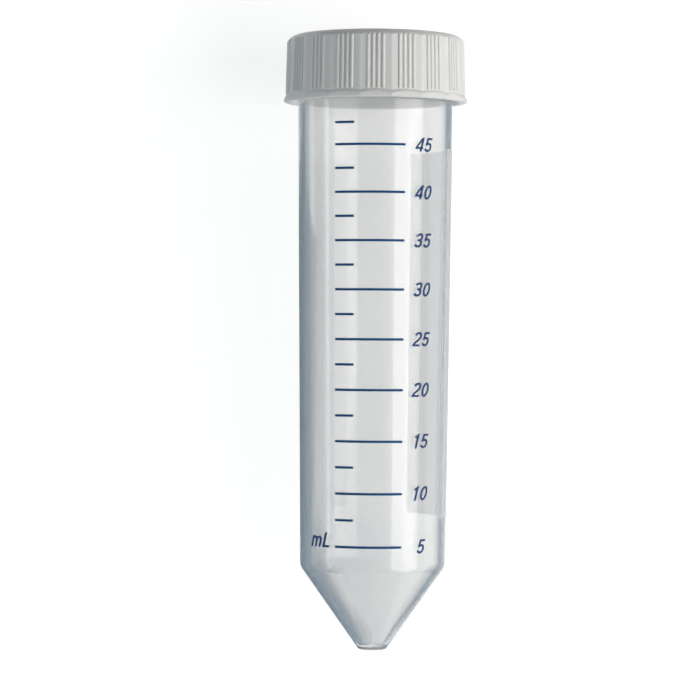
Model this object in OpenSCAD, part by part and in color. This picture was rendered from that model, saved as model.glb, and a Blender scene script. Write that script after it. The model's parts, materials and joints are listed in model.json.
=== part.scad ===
// 50 ml conical centrifuge tube with a ribbed screw cap, lying on its side.
// The tube rests on one flat of the cap's flange and on the edge of its own cone.

/* [Tube] */
// Length of the tube from its tip to its rim
tube_length = 115; // [90:0.5:140]
// Outside diameter of the wall at the neck
neck_d = 29.4; // [27:0.1:36]
// Outside diameter where the straight wall meets the cone
shoulder_d = 27.6; // [23:0.1:29]
// Height of the cone
cone_height = 15.9; // [12:0.1:20]
// Outside diameter of the flat tip
tip_d = 5.2; // [4.6:0.1:9]
// Height of the straight neck that carries the thread
neck_height = 12; // [9:0.5:16]
// Wall thickness at the rim
rim_wall = 1; // [0.8:0.05:1.4]
// Wall thickness at the shoulder and in the cone
cone_wall = 1.25; // [0.9:0.05:1.6]
// Thickness of the floor in the tip
floor_thickness = 1.4; // [1:0.1:2]
// Radius of the outside edge between wall and cone
shoulder_round = 2.3; // [1:0.1:4]
// Radius of the tip's outside edge
tip_round = 0.8; // [0.3:0.1:1.2]
// Radius of the rim's two edges
rim_round = 0.3; // [0.1:0.05:0.4]

/* [Cap] */
// Height of the cap
cap_height = 12.7; // [10:0.1:16]
// Thickness of the cap's top
cap_top_thickness = 1.7; // [1.2:0.1:3]
// Thickness of the skirt at the middle of a flat, where the skirt meets the flange
skirt_wall = 1.25; // [1:0.05:2]
// Slope of the skirt's outside, in degrees
skirt_draft = 1.5; // [0:0.1:3]
// Radius of the top edge
top_round = 2.4; // [1:0.1:3]
// Height and depth of the chamfer inside the foot of the skirt
lead_in = 0.4; // [0.1:0.1:0.6]
// Number of flats round the cap
flat_count = 18; // [12:1:24]
// Radius between two flats
corner_round = 1.5; // [0.5:0.1:3]
// Depth of the space for the thread between neck and skirt
thread_space = 0.9; // [0.6:0.05:1.3]
// Depth of the sealing ring that stands in the mouth
seal_depth = 2.6; // [1.5:0.1:4]
// Thickness of the sealing ring
seal_wall = 0.9; // [0.6:0.05:1.4]
// Clearance between the sealing ring and the bore
seal_clearance = 0.1; // [0.05:0.01:0.3]

/* [Grip] */
// Number of ribs on each flat
rib_count = 4; // [2:1:5]
// Distance between two ribs
rib_pitch = 0.94; // [0.7:0.01:1.2]
// Radius of a rib, which is a rod half sunk in the flat
rib_r = 0.28; // [0.1:0.01:0.4]
// Plain stretch of a flat between the flange and the ribs
rib_gap = 0.1; // [0.1:0.05:1]

/* [Flange] */
// How far the flange stands out past the skirt
flange_depth = 0.3; // [0.15:0.05:0.8]
// Height of the flange at the middle of a flat
flange_height = 1.05; // [0.8:0.05:2.5]
// Height of the bevel on the flange's lower edge
flange_bevel = 0.2; // [0.1:0.05:0.6]
// Slope of the flange's conical upper edge against the axis, in degrees
flange_slope = 32; // [20:1:50]

/* [Moulding marks] */
// Radius of the gate mark in the cap's top
cap_gate_r = 2; // [1:0.1:3]
// Radius of the gate mark in the tube's tip
tip_gate_r = 0.9; // [0.5:0.1:1.2]
// Depth of the gate marks
gate_depth = 0.25; // [0.1:0.05:0.5]

/* [Hidden] */
$fn = 96;
corner_fn = 54;
rib_fn = 10;
// How far a cut runs past the face that it opens
past = 1;
tube_colour = [0.86, 0.87, 0.88, 0.45];
cap_colour = [0.87, 0.87, 0.85];

flat_angle = 360 / flat_count;
neck_base = tube_length - neck_height;
bore_d = neck_d - 2 * rim_wall;
cap_base = tube_length + cap_top_thickness - cap_height;
ceiling = cap_height - cap_top_thickness;
cavity_r = neck_d / 2 + thread_space;

// Distance from the axis to a flat, at the foot of the skirt and on the flange
skirt_apothem = cavity_r + skirt_wall;
flange_apothem = skirt_apothem + flange_depth;
// Heights at which the flange's conical edge reaches the skirt, and the ribs begin
flange_top = flange_height + flange_depth / tan(flange_slope);
rib_base = flange_top + rib_gap;

// Inside radii of the cone, as far from its outside as the wall is thick
cone_angle = atan((shoulder_d - tip_d) / 2 / cone_height);
inner_tip_r = tip_d / 2 + floor_thickness * tan(cone_angle) - cone_wall / cos(cone_angle);
inner_shoulder_r = shoulder_d / 2 - cone_wall;
inner_shoulder_z = floor_thickness + (inner_shoulder_r - inner_tip_r) / tan(cone_angle);

function unit(v) = v / norm(v);

// How far the skirt's outline has shrunk at a height above the cap's foot
function draft_scale(height) = 1 - height * tan(skirt_draft) / skirt_apothem;

// Centre of the arc that rounds the corner b of the line a-b-c
function corner_centre(a, b, c, r) =
    let (u = unit(a - b), v = unit(c - b))
    b + unit(u + v) * r / sin(acos(u * v) / 2);

// Points of the arc that rounds the corner b of the line a-b-c
function round_corner(a, b, c, r, steps = 6) =
    let (u = unit(a - b), v = unit(c - b))
    let (reach = r / tan(acos(u * v) / 2), centre = corner_centre(a, b, c, r))
    let (p = b + u * reach - centre, q = b + v * reach - centre)
    let (start = atan2(p[1], p[0]), turn = atan2(q[1], q[0]) - start)
    let (sweep = turn > 180 ? turn - 360 : turn < -180 ? turn + 360 : turn)
    [for (i = [0:steps]) let (angle = start + sweep * i / steps) centre + r * [cos(angle), sin(angle)]];

// Corners of the tube's half section, as [radius, height]
tip_edge = [tip_d / 2, 0];
shoulder_edge = [shoulder_d / 2, cone_height];
neck_edge = [neck_d / 2, neck_base];
rim_outer = [neck_d / 2, tube_length];
rim_inner = [bore_d / 2, tube_length];
inner_shoulder = [inner_shoulder_r, inner_shoulder_z];
inner_tip = [inner_tip_r, floor_thickness];
tip_centre = corner_centre([0, 0], tip_edge, shoulder_edge, tip_round);
shoulder_centre = corner_centre(tip_edge, shoulder_edge, neck_edge, shoulder_round);

// Rest on the floor: the flange's lower edge and the shoulder's arc touch it together
contact_z = cap_base + flange_bevel;
contact_reach = [contact_z - shoulder_centre[1], flange_apothem - shoulder_centre[0]];
rest_tilt = atan2(contact_reach[1], contact_reach[0]) - asin(shoulder_round / norm(contact_reach));
top_edge_r = (skirt_apothem * draft_scale(cap_height) + rib_r) / cos(flat_angle / 2) - top_round;
y_max = (cap_base + cap_height - top_round) * cos(rest_tilt) + top_edge_r * sin(rest_tilt) + top_round;
y_min = tip_centre[1] * cos(rest_tilt) - tip_centre[0] * sin(rest_tilt) - tip_round;
z_min = contact_z * sin(rest_tilt) - flange_apothem * cos(rest_tilt);

// Lays an upright piece, tip at the origin, on its side with its cap towards +Y
module lay_down() {
    translate([0, -(y_min + y_max) / 2, -z_min])
        rotate([rest_tilt - 90, 0, 0])
            children();
}

module tube_body() {
    rotate_extrude()
        polygon(concat(
            [[0, 0]],
            round_corner([0, 0], tip_edge, shoulder_edge, tip_round),
            round_corner(tip_edge, shoulder_edge, neck_edge, shoulder_round),
            [neck_edge],
            round_corner(neck_edge, rim_outer, rim_inner, rim_round, 3),
            round_corner(rim_outer, rim_inner, inner_shoulder, rim_round, 3),
            round_corner(rim_inner, inner_shoulder, inner_tip, shoulder_round - cone_wall / 2),
            round_corner(inner_shoulder, inner_tip, [0, floor_thickness], tip_round),
            [[0, floor_thickness]]
        ));
}

module tube() {
    color(tube_colour)
        lay_down()
            difference() {
                tube_body();
                translate([0, 0, -past])
                    cylinder(r = tip_gate_r, h = gate_depth + past);
            }
}

// Outline of flats with sharp corners, one of them square to +Y
function flats(apothem) =
    [for (i = [0:flat_count - 1]) let (angle = 90 + (i + 0.5) * flat_angle)
        apothem / cos(flat_angle / 2) * [cos(angle), sin(angle)]];

// Leans an outline drawn at the cap's foot in by the draft, between two heights above the foot
module drafted(bottom, top) {
    translate([0, 0, bottom])
        linear_extrude(top - bottom, scale = draft_scale(top) / draft_scale(bottom))
            scale(draft_scale(bottom))
                children();
}

module skirt() {
    drafted(flange_bevel, cap_height)
        offset(r = corner_round, $fn = corner_fn)
            offset(delta = -corner_round)
                polygon(flats(skirt_apothem));
}

module ribs() {
    drafted(rib_base, cap_height)
        for (i = [0:flat_count - 1], j = [0:rib_count - 1])
            rotate(90 + i * flat_angle)
                translate([skirt_apothem, (j - (rib_count - 1) / 2) * rib_pitch])
                    circle(r = rib_r, $fn = rib_fn);
}

// Round form that holds the skirt and its ribs, with the rounded top edge
module cap_envelope() {
    foot_edge = [skirt_apothem / cos(flat_angle / 2) + rib_r, 0];
    top_edge = [top_edge_r + top_round, cap_height];
    rotate_extrude()
        polygon(concat(
            [[0, 0], foot_edge],
            round_corner(foot_edge, top_edge, [0, cap_height], top_round),
            [[0, cap_height]]
        ));
}

// Flats with a bevelled foot, cut off above by a cone that runs on into the skirt
module flange() {
    foot_apothem = flange_apothem - flange_bevel;
    cone_top = 2 * flange_top - flange_height;
    intersection() {
        linear_extrude(cone_top)
            polygon(flats(flange_apothem));
        linear_extrude(cone_top, scale = (foot_apothem + cone_top) / foot_apothem)
            polygon(flats(foot_apothem));
        cylinder(
            r1 = flange_apothem + flange_height * tan(flange_slope),
            r2 = flange_apothem - 2 * flange_depth,
            h = cone_top
        );
    }
}

// Space inside the skirt, with a lead-in at its mouth and the sealing ring left standing
module cap_cavity() {
    seal_r = bore_d / 2 - seal_clearance;
    difference() {
        union() {
            translate([0, 0, -past])
                cylinder(r = cavity_r, h = ceiling + past);
            cylinder(r1 = cavity_r + lead_in, r2 = cavity_r, h = lead_in);
        }
        translate([0, 0, ceiling - seal_depth])
            rotate_extrude()
                polygon([
                    [seal_r - seal_wall, 0],
                    [seal_r - seal_wall / 2, 0],
                    [seal_r, seal_wall],
                    [seal_r, seal_depth + past],
                    [seal_r - seal_wall, seal_depth + past]
                ]);
    }
}

module cap() {
    color(cap_colour)
        lay_down()
            translate([0, 0, cap_base])
                difference() {
                    union() {
                        flange();
                        intersection() {
                            cap_envelope();
                            union() {
                                skirt();
                                ribs();
                            }
                        }
                    }
                    cap_cavity();
                    translate([0, 0, cap_height - gate_depth])
                        cylinder(r = cap_gate_r, h = gate_depth + past);
                }
}

tube();
cap();
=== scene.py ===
"""50 ml conical centrifuge tube with a ribbed screw cap, lying on a pale floor under a soft studio light.

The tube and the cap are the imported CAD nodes. This script adds what is moulded or printed on them: the
screw threads, the scale with its numbers and unit, and the white writing panel. It gives everything its
material. Lengths on the object are in millimetres up to place(), which turns them into metres in the frame.
The studio's are in metres, apart from the cards, the flags and the camera.
"""

import json
import math

import bpy
from mathutils import Matrix, Vector


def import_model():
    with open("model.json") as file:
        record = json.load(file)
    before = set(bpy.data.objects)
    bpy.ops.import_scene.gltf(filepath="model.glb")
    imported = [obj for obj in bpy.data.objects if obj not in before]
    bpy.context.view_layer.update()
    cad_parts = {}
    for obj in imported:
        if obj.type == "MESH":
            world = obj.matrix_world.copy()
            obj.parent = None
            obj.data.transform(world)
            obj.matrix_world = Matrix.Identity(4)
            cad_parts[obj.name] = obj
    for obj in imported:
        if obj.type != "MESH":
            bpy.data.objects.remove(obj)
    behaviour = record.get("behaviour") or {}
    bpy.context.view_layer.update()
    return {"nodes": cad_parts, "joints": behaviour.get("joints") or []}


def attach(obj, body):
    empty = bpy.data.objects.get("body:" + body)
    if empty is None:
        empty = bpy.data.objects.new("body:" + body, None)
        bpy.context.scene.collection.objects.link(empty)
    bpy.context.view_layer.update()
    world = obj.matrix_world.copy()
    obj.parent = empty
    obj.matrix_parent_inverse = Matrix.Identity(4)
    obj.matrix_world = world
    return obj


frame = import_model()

MM = 0.001
CUBIC_MM_PER_ML = 1000
SHARP_ANGLE = 40
NODES = frame["nodes"]

# Outline of the tube's outside, as in the CAD model
NECK_R = 14.7
NECK_BASE = 103.0
SHOULDER_R = 13.8
CONE_HEIGHT = 15.9

# Outline of the tube's inside, which sets the heights of the scale
FLOOR_HEIGHT, FLOOR_R = 1.4, 2.057
INNER_SHOULDER_HEIGHT, INNER_SHOULDER_R = 16.296, 12.55
RIM_HEIGHT, RIM_R = 115.0, 13.7

# Inside of the cap's skirt
CAVITY_R = 15.6

# Screw thread: one start, right-handed. Its ridge has a narrow crest with eased edges and runs out at both
# ends. It starts at an azimuth and a height
THREAD_PITCH = 3.4
THREAD_HEIGHT = 0.72
THREAD_BASE = 1.4
THREAD_CREST = 0.5
THREAD_EASE, THREAD_EASE_SHARE = 0.14, 0.84
THREAD_RUN_OUT = 30
THREAD_END_SHARE = 0.02
THREAD_STEPS = 96
TUBE_THREAD_R, TUBE_THREAD_START, TUBE_THREAD_TURNS = NECK_R + 0.01, (0, 106.9), 1.5
CAP_THREAD_R, CAP_THREAD_START, CAP_THREAD_TURNS = CAVITY_R + 0.1, (20, 105.94), 1.35

# Print: film of ink on the wall. Strokes that cross lie in layers, so that their faces don't coincide
INK_LIFT = 0.012
INK_THICKNESS = 0.02
STROKE_STEP = 0.003
STROKE_LAYERS = 3

# Scale: a mark for every step of volume in ml, between azimuths in degrees. The top mark sits a little low
MARK_VOLUME = 2.5
MARKS = range(2, 20)
NUMBERED_VOLUMES = range(5, 50, 5)
LINE_WIDTH = 0.46
DEGREES_PER_COLUMN = 2
SCALE_START = -30.5
LONG_LINE_END = 22.5
SHORT_LINE_END = -15.5
TOP_MARK_DROP = 0.28
NUMBER_RIGHT, SINGLE_DIGIT_RIGHT, NUMBER_RISE = 46.3, 44.3, 0.05
UNIT_RIGHT, UNIT_RISE = -34.3, 1.2
NUMBER_STYLE = {"size": 2.65, "width_share": 1.14, "weight": 0.15, "slant": 0.25}
UNIT_STYLE = {"size": 2.8, "width_share": 1.19, "weight": 0.155, "slant": 0.22}

# Writing panel, between two azimuths and two heights
PANEL_SIDES = (68.5, 149.6)
PANEL_ENDS = (25.3, 95.1)
PANEL_CELLS = (42, 24)

# Clear wall: its colour, that of its clouds, its painted edge shade, and how much lamplight it lets through
CLEAR_MIDDLE, CLEAR_CLOUD = (0.932, 0.932, 0.926), (0.90, 0.90, 0.90)
# Painted shade: the darker colour that the wall takes on towards its edges
CLEAR_PAINTED_EDGE_SHADE = (0.62, 0.68, 0.74)
LAMP_SHARE = (0.83, 0.84, 0.85)

# Other colours, each a darker and a lighter one that the surface wanders between
CAP_GREYS = (0.895, 0.885, 0.86), (0.91, 0.90, 0.88)
SCALE_BLUES = (0.024, 0.094, 0.24), (0.03, 0.112, 0.275)
NUMBER_BLUES = (0.024, 0.06, 0.17), (0.03, 0.076, 0.2)
PANEL_WHITES = (0.85, 0.85, 0.855), (0.88, 0.88, 0.88)
FLOOR_GREYS = (0.80, 0.80, 0.80), (0.82, 0.82, 0.82)

# How much of the panel's ink is lit from behind, and how much of the panel is bare wall between its grains
PANEL_THROUGH = 0.5
PANEL_BARE = 0.42

# How far an ink's roughness wanders to either side
INK_UNEVENNESS = 0.06

# Where noise mostly lies, and how far the wall slants away where its painted edge shade sets in and is full
NOISE_RANGE = (0.3, 0.7)
PAINTED_EDGE_SHADE_RANGE = (0.54, 0.74)

# Floor as the camera sees it: its grey, and its lift, which grows to 1 between two distances from the origin
FLOOR_SHADE = 0.45
FLOOR_LIFT = 0.80
FLOOR_LIFT_REACH = (0.06, 0.2)

# How far the floor reaches to each side, and how many cells its mesh has across
FLOOR_REACH, FLOOR_CELLS = 1.6, 8

# Even light from all round
WORLD_LIGHT, SKY_WHITE = 0.17, (0.80, 0.93, 1.0)

# Lamps: the angles from straight up between which the tube sees each, and its radiance
KEY_ANGLES, KEY_RADIANCE = (29.8, 74.3), 2.0
CORE_ANGLES, CORE_RADIANCE = (52, 72), 0.75
FILL_ANGLES, FILL_RADIANCE = (-26.4, -63), 0.85
LOW_ANGLES, LOW_RADIANCE = (76, 90), 0.2
KEY_WASH_ANGLES, KEY_WASH_RADIANCE = (25, 85), 0.9
LEFT_WASH_ANGLES, LEFT_WASH_RADIANCE = (-76, -90), 3.6

# The lamps' distances from the tube, the places along it where they end, and their colours
SOFTBOX_DISTANCE, CORE_DISTANCE, WASH_DISTANCE = 0.5, 0.49, 0.6
STRIP_ENDS, FILL_ENDS = (-0.6, 0.14), (-0.095, 0.14)
KEY_WASH_ENDS, LEFT_WASH_ENDS = (-0.5, 0.1), (-0.4, 0.12)
LAMP_WHITE = (1.0, 0.99, 0.98)
SOFT_WHITE = (1.0, 0.99, 0.97)
WARM_WHITE = (1.0, 0.98, 0.95)
COOL_WHITE = (0.86, 0.96, 1.0)

# Painted shade: dark cards that only the tube's gloss and glass show, beside its edges and under it
# Cards on the floor: how dense they are at each of a row's x positions, and rows of (y, x positions) in mm
CARD_LIFT = 0.5
SHADE_CARD_DENSITY = [0.0, 0.06, 0.18, 0.3, 1.0, 1.0]
LEFT_SHADE_CARD_BLUE = (0.39, 0.49, 0.59)
# The left card's painted shade darkens the tube's left edge and, seen through the tube, the floor under its
# tip
LEFT_SHADE_CARD = [
    (60, (-10, -14, -18, -24, -27, -60)),
    (40, (-6, -12, -16, -22, -26, -60)),
    (20, (-2, -7, -11.5, -13, -14.5, -60)),
    (-27, (-1, -7, -11.5, -13, -14.5, -60)),
    (-37, (14, 8, 0, -10.5, -14.5, -60)),
    (-43, (14, 8, 1, -8.5, -14, -60)),
    (-50, (14, 9, 2.5, -5, -10.5, -60)),
    (-56, (13, 9, 5, 0.5, -5, -60)),
    (-120, (13, 9, 5, 0.5, -5, -60)),
]
RIGHT_SHADE_CARD_GREY = (0.34, 0.40, 0.46)
RIGHT_SHADE_CARD = [
    (60, (21.5, 21.6, 21.7, 21.8, 22, 42)),
    (-42, (21.5, 21.6, 21.7, 21.8, 22, 42)),
    (-62, (9.5, 9.6, 9.7, 9.8, 10, 42)),
    (-120, (9.5, 9.6, 9.7, 9.8, 10, 42)),
]

# Flags: from one point of the floor to another, with a height, in mm, and how light they are. The left one
# shows only in gloss and glass, and the cap's also keeps light off surfaces
LEFT_FLAG, LEFT_FLAG_HEIGHT, LEFT_FLAG_SHADE = ((-100, -75), (-100, 500)), 35, 0.03
CAP_FLAG, CAP_FLAG_HEIGHT, CAP_FLAG_SHADE = ((-150, 130), (150, 130)), 200, 0.24

# Camera: film and lens, its place off the tube's axis, and how far it is turned about its own X, Y and Z
FILM_WIDTH, LENS = 36, 144
CAMERA_DISTANCE, CAMERA_HEIGHT = 533.3, 63.7
CAMERA_TURN = (-0.72, 0.49, 0.36)


# Places on the tube

SIDE = Vector((1, 0, 0))
AXIS = Vector(frame["joints"][0]["axis"]).normalized()
UP = SIDE.cross(AXIS)


def tip_centre():
    """The centre of the tip's end, from the tube's own vertices."""
    points = [v.co for v in NODES["tube"].data.vertices]
    heights = [p.dot(UP) for p in points]
    return AXIS * min(p.dot(AXIS) for p in points) + UP * (min(heights) + max(heights)) / 2


TIP = tip_centre()


def place(radius, azimuth, height):
    """A point at a radius from the axis and a height above the tip. Azimuth 0 is straight up and 90 is +X."""
    a = math.radians(azimuth)
    return TIP + (SIDE * math.sin(a) + UP * math.cos(a)) * radius * MM + AXIS * height * MM


def wall_radius(height):
    """Radius of the tube's outside at this height on the straight wall or the neck."""
    share = min((height - CONE_HEIGHT) / (NECK_BASE - CONE_HEIGHT), 1.0)
    return SHOULDER_R + (NECK_R - SHOULDER_R) * share


def frustum(height, low_r, high_r):
    """Volume in ml."""
    return math.pi * height * (low_r**2 + low_r * high_r + high_r**2) / 3 / CUBIC_MM_PER_ML


def fill_height(volume):
    """How high this volume in ml, over that of the cone, fills the tube."""
    cone = frustum(INNER_SHOULDER_HEIGHT - FLOOR_HEIGHT, FLOOR_R, INNER_SHOULDER_R)
    slope = (RIM_R - INNER_SHOULDER_R) / (RIM_HEIGHT - INNER_SHOULDER_HEIGHT)
    low, high, precision = 0.0, RIM_HEIGHT, 0.001
    while high - low > precision:
        middle = (low + high) / 2
        if cone + frustum(middle, INNER_SHOULDER_R, INNER_SHOULDER_R + slope * middle) < volume:
            low = middle
        else:
            high = middle
    return INNER_SHOULDER_HEIGHT + low


# Meshes


def piece(name, points, faces, material, body, slot):
    """A smooth mesh piece that rides on a body."""
    mesh = bpy.data.meshes.new(name)
    mesh.from_pydata([tuple(p) for p in points], [], faces)
    mesh.shade_smooth()
    mesh.set_sharp_from_angle(angle=math.radians(SHARP_ANGLE))
    mesh.materials.append(material)
    obj = bpy.data.objects.new(name, mesh)
    bpy.context.scene.collection.objects.link(obj)
    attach(obj, body)


def helix_ridge(base_r, outward, start, turns):
    """Points and faces of a screw thread's ridge on a round wall, with ends that run out into it.

    start is its azimuth and height. outward is 1 on an outside wall and -1 on an inside one.
    """
    half, crest = THREAD_BASE / 2, THREAD_CREST / 2
    eased = crest + THREAD_EASE
    low_side = [(-half, 0.0), (-eased, THREAD_EASE_SHARE), (-crest, 1.0)]
    profile = low_side + [(-along, out) for along, out in reversed(low_side)]
    steps = round(THREAD_STEPS * turns)
    run_out = THREAD_RUN_OUT / 360 / turns
    points, faces = [], []
    for i in range(steps + 1):
        t = i / steps
        rise = math.sin(min(t / run_out, (1 - t) / run_out, 1.0) * math.pi / 2) ** 2
        reach = outward * THREAD_HEIGHT * max(rise, THREAD_END_SHARE)
        azimuth = start[0] + 360 * turns * t
        height = start[1] + THREAD_PITCH * turns * t
        points += [place(base_r + reach * out, azimuth, height + along) for along, out in profile]
    width = len(profile)
    for i in range(steps):
        for j in range(width):
            a, b = i * width + j, i * width + (j + 1) % width
            faces.append((a, b, b + width, a + width))
    faces.append(list(reversed(range(width))))
    faces.append(list(range(steps * width, (steps + 1) * width)))
    if outward > 0:
        faces = [face[::-1] for face in faces]
    return points, faces


def film(name, shapes, material, slot):
    """A thin closed film of ink on the tube's wall.

    Each shape is (points, faces), with its points as (azimuth, height).
    """
    points, faces = [], []
    for number, (flat, cells) in enumerate(shapes):
        start, count = len(points), len(flat)
        low = INK_LIFT + number % STROKE_LAYERS * STROKE_STEP
        for lift in (low, low + INK_THICKNESS):
            points += [place(wall_radius(h) + lift, a, h) for a, h in flat]
        edges = [edge for cell in cells for edge in zip(cell, cell[1:] + cell[:1])]
        for cell in cells:
            faces.append([start + count + i for i in cell])
            faces.append([start + i for i in reversed(cell)])
        rim = set(edges)
        for a, b in edges:
            if (b, a) not in rim:
                faces.append([start + a, start + b, start + count + b, start + count + a])
    piece(name, points, faces, material, "tube_body", slot)


def patch(left, right, low, high, columns, rows=1):
    """A shape for film(): a rectangle between two azimuths and two heights."""
    points = [
        (left + (right - left) * i / columns, low + (high - low) * j / rows)
        for j in range(rows + 1) for i in range(columns + 1)
    ]
    return points, grid_cells(columns, rows)


def grid_cells(columns, rows):
    """Faces of a grid whose points are listed row by row."""
    width = columns + 1
    starts = [j * width + i for j in range(rows) for i in range(columns)]
    return [[a, a + 1, a + width + 1, a + width] for a in starts]


# Lettering, drawn as strokes: a glyph is (width, strokes), a stroke a line of points, and a digit is 1 high

GLYPH_GAP = 0.08
STROKE_PART = 0.14
ARC_STEP = 15
MITRE_LIMIT = 0.5


def arc(middle_x, middle_y, width, height, start, end):
    """Points of an arc of an ellipse, between two angles in degrees."""
    steps = max(round(abs(end - start) / ARC_STEP), 1)
    angles = [math.radians(start + (end - start) * i / steps) for i in range(steps + 1)]
    return [(middle_x + width / 2 * math.cos(t), middle_y + height / 2 * math.sin(t)) for t in angles]


def arch(left, right):
    """The arch and right stem of a small m."""
    middle, top = (left + right) / 2, 0.46
    return [(left + 0.01, top), *arc(middle, top, right - left, 0.4, 160, 0), (right, 0)]


GLYPHS = {
    "0": (0.58, [arc(0.29, 0.5, 0.42, 0.86, 90, -270)]),
    "1": (0.58, [[(0.36, 0), (0.36, 1)], [(0.13, 0.76), (0.24, 0.79), (0.31, 0.86), (0.345, 0.95)]]),
    "2": (0.58, [
        [*arc(0.29, 0.70, 0.42, 0.46, 165, -35), (0.36, 0.44), (0.18, 0.28), (0.11, 0.18), (0.09, 0.08)],
        [(0.01, 0.07), (0.53, 0.07)],
    ]),
    "3": (0.58, [
        [*arc(0.28, 0.72, 0.38, 0.42, 165, -90), (0.19, 0.51)],
        [(0.2, 0.505), *arc(0.28, 0.285, 0.42, 0.43, 90, -165)],
    ]),
    "4": (0.58, [[(0.42, 0), (0.42, 1)], [(0.38, 0.93), (0.06, 0.31)], [(0, 0.26), (0.57, 0.26)]]),
    "5": (0.58, [
        [(0.51, 0.93), (0.15, 0.93), (0.115, 0.46)],
        arc(0.28, 0.33, 0.42, 0.52, 150, -160),
    ]),
    "m": (0.86, [[(0.07, 0), (0.07, 0.73)], arch(0.07, 0.4), arch(0.4, 0.73)]),
    "L": (0.52, [[(0.08, 1), (0.08, 0.065), (0.5, 0.065)]]),
}


def divided(line, longest):
    """A line of points with more of them where they lie further apart than this."""
    points = [line[0]]
    for (ax, ay), (bx, by) in zip(line, line[1:]):
        count = math.ceil(math.dist((ax, ay), (bx, by)) / longest)
        points += [(ax + (bx - ax) * i / count, ay + (by - ay) * i / count) for i in range(1, count + 1)]
    return points


def ribbon(line, width):
    """Two rows of points along a line, this far apart, as one list of pairs."""
    pairs = []
    for i, (x, y) in enumerate(line):
        directions = []
        for a, b in ((i - 1, i), (i, i + 1)):
            if a >= 0 and b < len(line):
                directions.append((Vector(line[b]) - Vector(line[a])).normalized())
        along = sum(directions, Vector((0, 0))).normalized()
        reach = width / 2 / max(along.dot(directions[0]), MITRE_LIMIT)
        pairs += [(x - along.y * reach, y + along.x * reach), (x + along.y * reach, y - along.x * reach)]
    return pairs


def lettering(text, azimuth, height, size, width_share, weight, slant):
    """Shapes for film(): a line of text round the tube, with its digits centred on a height.

    Its right end is at the azimuth. size is a digit's height in mm, and weight and slant are shares of it.
    """
    width = sum(GLYPHS[c][0] for c in text) + GLYPH_GAP * (len(text) - 1)
    around = math.degrees(size * width_share / wall_radius(height))
    shapes, left = [], -width
    for character in text:
        advance, strokes = GLYPHS[character]
        for stroke in strokes:
            pairs = ribbon(divided(stroke, STROKE_PART), weight)
            points = [
                (azimuth + (left + x + slant * (y - 0.5)) * around, height + (y - 0.5) * size)
                for x, y in pairs
            ]
            shapes.append((points, [[i + 1, i + 3, i + 2, i] for i in range(0, len(pairs) - 2, 2)]))
        left += advance + GLYPH_GAP
    return shapes


# Nodes of a material


def new_material(name):
    material = bpy.data.materials.new(name)
    material.use_nodes = True
    tree = material.node_tree
    return material, tree, tree.nodes["Principled BSDF"]


def add(tree, kind, **settings):
    """A node with its properties and inputs set by name, where _ in an input's name stands for a space."""
    node = tree.nodes.new(kind)
    for key, value in settings.items():
        if hasattr(node, key):
            setattr(node, key, value)
        else:
            node.inputs[key.replace("_", " ")].default_value = value
    return node


def grain(tree, size, stretch=1.0, detail=3.0):
    """Noise in the piece's own coordinates, with features of about this size in mm.

    They are this many times as long along the tube.
    """
    where = add(tree, "ShaderNodeTexCoord")
    mapping = add(tree, "ShaderNodeMapping", Scale=(1 / size / MM, 1 / size / MM / stretch, 1 / size / MM))
    noise = add(tree, "ShaderNodeTexNoise", Scale=1.0, Detail=detail)
    tree.links.new(where.outputs["Object"], mapping.inputs["Vector"])
    tree.links.new(mapping.outputs["Vector"], noise.inputs["Vector"])
    return noise.outputs["Fac"]


def ranged(tree, value, source, target, **settings):
    """A value taken from one range to another, and kept inside it."""
    node = add(tree, "ShaderNodeMapRange", **settings)
    node.inputs["From Min"].default_value, node.inputs["From Max"].default_value = source
    node.inputs["To Min"].default_value, node.inputs["To Max"].default_value = target
    tree.links.new(value, node.inputs["Value"])
    return node.outputs["Result"]


def between(tree, noise, low, high):
    """A value that goes from low to high as noise goes over its usual range."""
    return ranged(tree, noise, NOISE_RANGE, (low, high))


def blend(tree, share, first, second):
    """A colour between two, each a colour or a socket."""
    node = add(tree, "ShaderNodeMix", data_type="RGBA")
    tree.links.new(share, node.inputs["Factor"])
    for name, colour in (("A", first), ("B", second)):
        socket = [s for s in node.inputs if s.name == name and s.type == "RGBA"][0]
        if isinstance(colour, tuple):
            socket.default_value = (*colour, 1)
        else:
            tree.links.new(colour, socket)
    return [s for s in node.outputs if s.type == "RGBA"][0]


def uneven(tree, size, colours):
    """A colour that wanders between two, in patches of about this size in mm."""
    return blend(tree, between(tree, grain(tree, size), 0.0, 1.0), *colours)


def relief(tree, shader, *layers):
    """Bumps on a shader, each layer a height socket and its depth in mm."""
    normal = None
    for height, depth in layers:
        bump = add(tree, "ShaderNodeBump", Distance=depth * MM, Strength=1.0)
        tree.links.new(height, bump.inputs["Height"])
        if normal:
            tree.links.new(normal, bump.inputs["Normal"])
        normal = bump.outputs["Normal"]
    tree.links.new(normal, shader.inputs["Normal"])


def mixed(tree, share, first, second):
    """A shader between two, where share is a number or a socket."""
    node = add(tree, "ShaderNodeMixShader")
    if isinstance(share, float):
        node.inputs["Fac"].default_value = share
    else:
        tree.links.new(share, node.inputs["Fac"])
    tree.links.new(first, node.inputs[1])
    tree.links.new(second, node.inputs[2])
    return node.outputs["Shader"]


def show(tree, shader):
    """Makes this shader the one that the material shows."""
    tree.links.new(shader, tree.nodes["Material Output"].inputs["Surface"])


def seen(tree):
    """1 for rays that show a background: to the camera, in a reflection and through glass."""
    path = add(tree, "ShaderNodeLightPath")
    total = path.outputs["Is Camera Ray"]
    for name in ("Is Glossy Ray", "Is Transmission Ray"):
        highest = add(tree, "ShaderNodeMath", operation="MAXIMUM")
        tree.links.new(total, highest.inputs[0])
        tree.links.new(path.outputs[name], highest.inputs[1])
        total = highest.outputs["Value"]
    return total


# Materials


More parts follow.
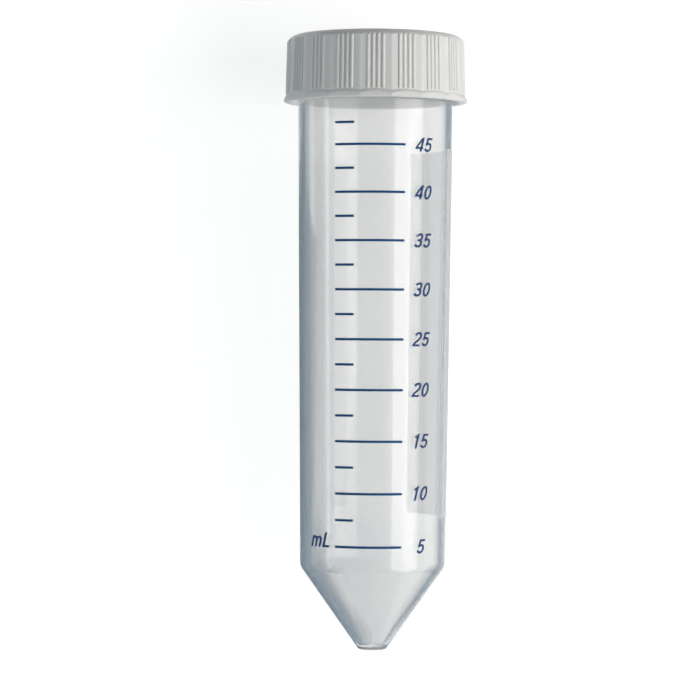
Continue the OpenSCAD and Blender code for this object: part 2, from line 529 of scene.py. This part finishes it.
def clear_plastic():
    """Clear polypropylene, slightly milky, that lets lamps through, with painted shade greying its edges."""
    material, tree, shader = new_material("clear_polypropylene")
    shader.inputs["Transmission Weight"].default_value = 0.88
    shader.inputs["IOR"].default_value = 1.49
    facing = add(tree, "ShaderNodeLayerWeight", Blend=0.5).outputs["Facing"]
    # Painted shade: the wall's colour darkens where it slants away from the view, towards its edges
    edge = ranged(tree, facing, PAINTED_EDGE_SHADE_RANGE, (0.0, 1.0), interpolation_type="SMOOTHSTEP")
    clouds = between(tree, grain(tree, 9, stretch=3), 0.0, 0.12)
    tint = blend(tree, clouds, CLEAR_MIDDLE, CLEAR_CLOUD)
    tree.links.new(blend(tree, edge, tint, CLEAR_PAINTED_EDGE_SHADE), shader.inputs["Base Color"])
    tree.links.new(between(tree, grain(tree, 6, stretch=4), 0.045, 0.085), shader.inputs["Roughness"])
    flow = grain(tree, 5, stretch=8, detail=1.0)
    skin = grain(tree, 0.5, stretch=4)
    relief(tree, shader, (flow, 0.003), (skin, 0.0008))
    through = add(tree, "ShaderNodeBsdfTransparent", Color=(*LAMP_SHARE, 1)).outputs["BSDF"]
    shadow = add(tree, "ShaderNodeLightPath").outputs["Is Shadow Ray"]
    show(tree, mixed(tree, shadow, shader.outputs["BSDF"], through))
    return material


def cap_plastic():
    """Light grey polyethylene, satin, with the fine skin of an eroded mould."""
    material, tree, shader = new_material("cap_polyethylene")
    shader.inputs["IOR"].default_value = 1.51
    shader.inputs["Specular IOR Level"].default_value = 0.3
    shader.inputs["Subsurface Weight"].default_value = 0.05
    shader.inputs["Subsurface Scale"].default_value = 1.2 * MM
    shader.inputs["Subsurface Radius"].default_value = (1.0, 0.9, 0.8)
    tree.links.new(uneven(tree, 5, CAP_GREYS), shader.inputs["Base Color"])
    tree.links.new(between(tree, grain(tree, 1.5), 0.34, 0.44), shader.inputs["Roughness"])
    skin = grain(tree, 0.12)
    waves = grain(tree, 3.0)
    relief(tree, shader, (skin, 0.003), (waves, 0.02))
    return material


def ink(name, colours, gloss, roughness, depth):
    """Screen-printed ink: slightly uneven in colour and gloss, with a fine grain of this depth in mm."""
    material, tree, shader = new_material(name)
    shader.inputs["Specular IOR Level"].default_value = gloss
    tree.links.new(uneven(tree, 0.8, colours), shader.inputs["Base Color"])
    uneven_gloss = between(tree, grain(tree, 0.5), roughness - INK_UNEVENNESS, roughness + INK_UNEVENNESS)
    tree.links.new(uneven_gloss, shader.inputs["Roughness"])
    relief(tree, shader, (grain(tree, 0.1), depth))
    return material


def panel_ink():
    """White ink that light comes through, and that leaves some of the wall bare."""
    material = ink("panel_ink", PANEL_WHITES, gloss=0.5, roughness=0.6, depth=0.006)
    tree = material.node_tree
    front = tree.nodes["Principled BSDF"].outputs["BSDF"]
    glow = add(tree, "ShaderNodeBsdfTranslucent", Color=(*PANEL_WHITES[1], 1)).outputs["BSDF"]
    bare = add(tree, "ShaderNodeBsdfTransparent").outputs["BSDF"]
    show(tree, mixed(tree, PANEL_BARE, mixed(tree, PANEL_THROUGH, front, glow), bare))
    return material


def floor_material():
    """Pale floor, lifted towards white where the camera sees it, directly or in glass.

    The lift is highest away from the tube. The light that the floor gives the tube still comes from its
    colour, and the shadow stays.
    """
    material, tree, shader = new_material("floor")
    shader.inputs["Roughness"].default_value = 0.9
    shader.inputs["Specular IOR Level"].default_value = 0.1
    tree.links.new(uneven(tree, 40, FLOOR_GREYS), shader.inputs["Base Color"])
    where = add(tree, "ShaderNodeTexCoord")
    away = add(tree, "ShaderNodeVectorMath", operation="LENGTH")
    tree.links.new(where.outputs["Object"], away.inputs[0])
    lift = add(tree, "ShaderNodeEmission")
    grown = ranged(tree, away.outputs["Value"], FLOOR_LIFT_REACH, (FLOOR_LIFT, 1.0))
    tree.links.new(grown, lift.inputs["Strength"])
    shade = add(tree, "ShaderNodeBsdfDiffuse", Color=(FLOOR_SHADE, FLOOR_SHADE, FLOOR_SHADE, 1))
    both = add(tree, "ShaderNodeAddShader")
    tree.links.new(shade.outputs["BSDF"], both.inputs[0])
    tree.links.new(lift.outputs["Emission"], both.inputs[1])
    show(tree, mixed(tree, seen(tree), shader.outputs["BSDF"], both.outputs["Shader"]))
    return material


def flag_material(name, shade):
    material, _, shader = new_material(name)
    shader.inputs["Base Color"].default_value = (shade, shade, shade, 1)
    return material


def card_material(name, colour):
    """Painted shade: a plain colour that is as dense as the card's own density says."""
    material, tree, shader = new_material(name)
    shader.inputs["Base Color"].default_value = (*colour, 1)
    density = add(tree, "ShaderNodeAttribute", attribute_name="shade_card_density").outputs["Fac"]
    clear = add(tree, "ShaderNodeBsdfTransparent").outputs["BSDF"]
    show(tree, mixed(tree, density, clear, shader.outputs["BSDF"]))
    return material


# Pieces


def threads(clear, cap):
    """The ridge on the tube's neck and the one inside the cap's skirt."""
    on_neck = helix_ridge(TUBE_THREAD_R, 1, TUBE_THREAD_START, TUBE_THREAD_TURNS)
    piece("tube_thread", *on_neck, clear, "tube_body", "clear_plastic")
    in_skirt = helix_ridge(CAP_THREAD_R, -1, CAP_THREAD_START, CAP_THREAD_TURNS)
    piece("cap_thread", *in_skirt, cap, "cap_body", "cap_plastic")


def scale_line(number):
    """The scale's line for this many steps of volume: a long one at each 5 ml and a short one between."""
    middle = fill_height(number * MARK_VOLUME) - (TOP_MARK_DROP if number == MARKS[-1] else 0)
    right = SHORT_LINE_END if number % 2 else LONG_LINE_END
    columns = round((right - SCALE_START) / DEGREES_PER_COLUMN)
    return patch(SCALE_START, right, middle - LINE_WIDTH / 2, middle + LINE_WIDTH / 2, columns)


def scale_number(volume):
    """Shapes of the number beside the scale's line for this volume."""
    right = NUMBER_RIGHT if volume >= 10 else SINGLE_DIGIT_RIGHT
    return lettering(str(volume), right, fill_height(volume) + NUMBER_RISE, **NUMBER_STYLE)


def scale(blue, navy):
    """The scale from 5 to 47.5 ml, with a number at each 5 ml and the unit beside the lowest."""
    film("scale_lines", [scale_line(number) for number in MARKS], blue, "scale_ink")
    numbers = [shape for volume in NUMBERED_VOLUMES for shape in scale_number(volume)]
    film("scale_numbers", numbers, navy, "scale_ink")
    unit = lettering("mL", UNIT_RIGHT, fill_height(5) + UNIT_RISE, **UNIT_STYLE)
    film("scale_unit", unit, blue, "scale_ink")


def writing_panel(white):
    film("writing_panel", [patch(*PANEL_SIDES, *PANEL_ENDS, *PANEL_CELLS)], white, "panel_ink")


# Stage


def stage_object(name, points, faces, material):
    """A mesh of the studio, which isn't part of the tube."""
    mesh = bpy.data.meshes.new(name)
    mesh.from_pydata(points, [], faces)
    mesh.materials.append(material)
    obj = bpy.data.objects.new(name, mesh)
    bpy.context.scene.collection.objects.link(obj)
    return obj


def floor():
    points = [
        (FLOOR_REACH * (2 * i / FLOOR_CELLS - 1), FLOOR_REACH * (2 * j / FLOOR_CELLS - 1), 0.0)
        for j in range(FLOOR_CELLS + 1) for i in range(FLOOR_CELLS + 1)
    ]
    stage_object("floor", points, grid_cells(FLOOR_CELLS, FLOOR_CELLS), floor_material())


def world():
    """Even light from all round, and a white background."""
    made = bpy.data.worlds.new("studio")
    bpy.context.scene.world = made
    made.use_nodes = True
    tree = made.node_tree
    light = tree.nodes["Background"]
    light.inputs["Color"].default_value = (*SKY_WHITE, 1)
    light.inputs["Strength"].default_value = WORLD_LIGHT
    white = add(tree, "ShaderNodeBackground", Color=(1, 1, 1, 1), Strength=1.0)
    both = mixed(tree, seen(tree), light.outputs["Background"], white.outputs["Background"])
    tree.links.new(both, tree.nodes["World Output"].inputs["Surface"])


def softbox(name, angles, distance, ends, radiance, colour, in_gloss=True, in_diffuse=True):
    """An upright strip of light beside the tube, between two places along it.

    The tube sees it between two angles from straight up, towards +X if positive.
    """
    sign = math.copysign(1, angles[0])
    top, bottom = (distance / math.tan(math.radians(abs(angle))) for angle in angles)
    data = bpy.data.lights.new(name, "AREA")
    data.shape = "RECTANGLE"
    data.size, data.size_y = top - bottom, ends[1] - ends[0]
    data.energy = radiance * math.pi * data.size * data.size_y
    data.color = colour
    obj = bpy.data.objects.new(name, data)
    middle = Vector((sign * distance, (ends[0] + ends[1]) / 2, (top + bottom) / 2 + NECK_R * MM))
    turn = Matrix(((0, 0, sign), (0, 1, 0), (-sign, 0, 0)))
    obj.matrix_world = Matrix.Translation(middle) @ turn.to_4x4()
    obj.visible_glossy, obj.visible_diffuse = in_gloss, in_diffuse
    bpy.context.scene.collection.objects.link(obj)


def wash(name, angles, ends, radiance, colour):
    """A softbox that lights surfaces and doesn't show in gloss."""
    softbox(name, angles, WASH_DISTANCE, ends, radiance, colour, in_gloss=False)


def lamps():
    """Softboxes on both sides of the tube. The fill shows only in gloss."""
    softbox("key_softbox", KEY_ANGLES, SOFTBOX_DISTANCE, STRIP_ENDS, KEY_RADIANCE, LAMP_WHITE)
    softbox("core_softbox", CORE_ANGLES, CORE_DISTANCE, STRIP_ENDS, CORE_RADIANCE, LAMP_WHITE)
    softbox(
        "fill_softbox", FILL_ANGLES, SOFTBOX_DISTANCE, FILL_ENDS, FILL_RADIANCE, SOFT_WHITE, in_diffuse=False
    )
    softbox("low_softbox", LOW_ANGLES, SOFTBOX_DISTANCE, STRIP_ENDS, LOW_RADIANCE, SOFT_WHITE)
    wash("key_wash", KEY_WASH_ANGLES, KEY_WASH_ENDS, KEY_WASH_RADIANCE, WARM_WHITE)
    wash("left_wash", LEFT_WASH_ANGLES, LEFT_WASH_ENDS, LEFT_WASH_RADIANCE, COOL_WHITE)


def flag(name, ends, height, shade, in_diffuse):
    """An upright dark card on the floor, which the camera doesn't see and which casts no shadow."""
    points = [(x * MM, y * MM, z * MM) for z in (0, height) for x, y in ends]
    obj = stage_object(name, points, [(0, 1, 3, 2)], flag_material(name, shade))
    obj.visible_camera = obj.visible_shadow = False
    obj.visible_diffuse = in_diffuse


def card(name, rows, colour):
    """A card on the floor that only gloss and glass show, whose painted shade darkens the tube's edges and
    the floor seen through it.
    """
    points = [(x * MM, y * MM, CARD_LIFT * MM) for y, xs in rows for x in xs]
    cells = grid_cells(len(SHADE_CARD_DENSITY) - 1, len(rows) - 1)
    obj = stage_object(name, points, cells, card_material(name, colour))
    density = obj.data.attributes.new("shade_card_density", "FLOAT", "POINT")
    density.data.foreach_set("value", SHADE_CARD_DENSITY * len(rows))
    obj.visible_camera = obj.visible_shadow = obj.visible_diffuse = False


def camera():
    """Looks straight down on the tube, so that the picture shows it upright."""
    data = bpy.data.cameras.new("camera")
    data.sensor_width, data.lens = FILM_WIDTH, LENS
    obj = bpy.data.objects.new("camera", data)
    aim = Matrix((SIDE, AXIS, UP)).transposed()
    for angle, axis in zip(CAMERA_TURN, "XYZ"):
        aim = aim @ Matrix.Rotation(math.radians(angle), 3, axis)
    obj.matrix_world = Matrix.Translation(place(CAMERA_DISTANCE, 0, CAMERA_HEIGHT)) @ aim.to_4x4()
    bpy.context.scene.collection.objects.link(obj)
    bpy.context.scene.camera = obj


def studio():
    floor()
    world()
    lamps()
    flag("left_flag", LEFT_FLAG, LEFT_FLAG_HEIGHT, LEFT_FLAG_SHADE, in_diffuse=False)
    flag("cap_flag", CAP_FLAG, CAP_FLAG_HEIGHT, CAP_FLAG_SHADE, in_diffuse=True)
    # Cards of painted shade, which only the tube's gloss and glass show
    card("left_shade_card", LEFT_SHADE_CARD, LEFT_SHADE_CARD_BLUE)
    card("right_shade_card", RIGHT_SHADE_CARD, RIGHT_SHADE_CARD_GREY)
    bpy.context.scene.view_settings.view_transform = "Standard"


def main():
    camera()
    clear, cap = clear_plastic(), cap_plastic()
    blue = ink("scale_ink", SCALE_BLUES, gloss=0.1, roughness=0.5, depth=0.004)
    navy = ink("number_ink", NUMBER_BLUES, gloss=0.1, roughness=0.5, depth=0.004)
    white = panel_ink()
    for name, material in (("tube", clear), ("cap", cap)):
        NODES[name].material_slots[0].material = material
    # Diffuse rays pass the wall by, because its shadow already lets the lamps' light through
    NODES["tube"].visible_diffuse = False
    threads(clear, cap)
    scale(blue, navy)
    writing_panel(white)
    studio()


main()
